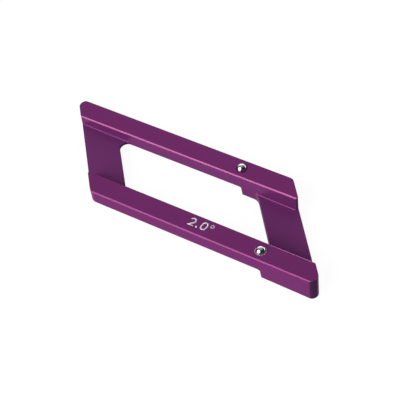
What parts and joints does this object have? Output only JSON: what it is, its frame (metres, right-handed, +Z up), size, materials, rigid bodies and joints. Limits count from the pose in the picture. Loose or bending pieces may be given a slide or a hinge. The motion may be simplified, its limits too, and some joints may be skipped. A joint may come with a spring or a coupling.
{
  "type": "ski edge bevel guide",
  "caption": "Skewed aluminium frame of parallel rails and webs round an open window, with steel balls set in the rails; holds a file at a fixed bevel on the base edge of a ski or snowboard.",
  "frame": {"origin": "middle of the frame in plan, at the level of the foot face", "axes": "+X along the rails from the thin file end to the foot, +Y across to the rear rail, +Z up from the foot face to the rail tops"},
  "size_m": [0.1524, 0.047, 0.0142],
  "materials": {
    "anodised_aluminium": "satin, dyed purple, fine lengthwise grain",
    "polished_steel": "mirror polished hardened steel"
  },
  "bodies": {
    "root": {"guide_frame": "anodised_aluminium", "front_ball": "polished_steel", "rear_ball": "polished_steel"}
  },
  "joints": []
}
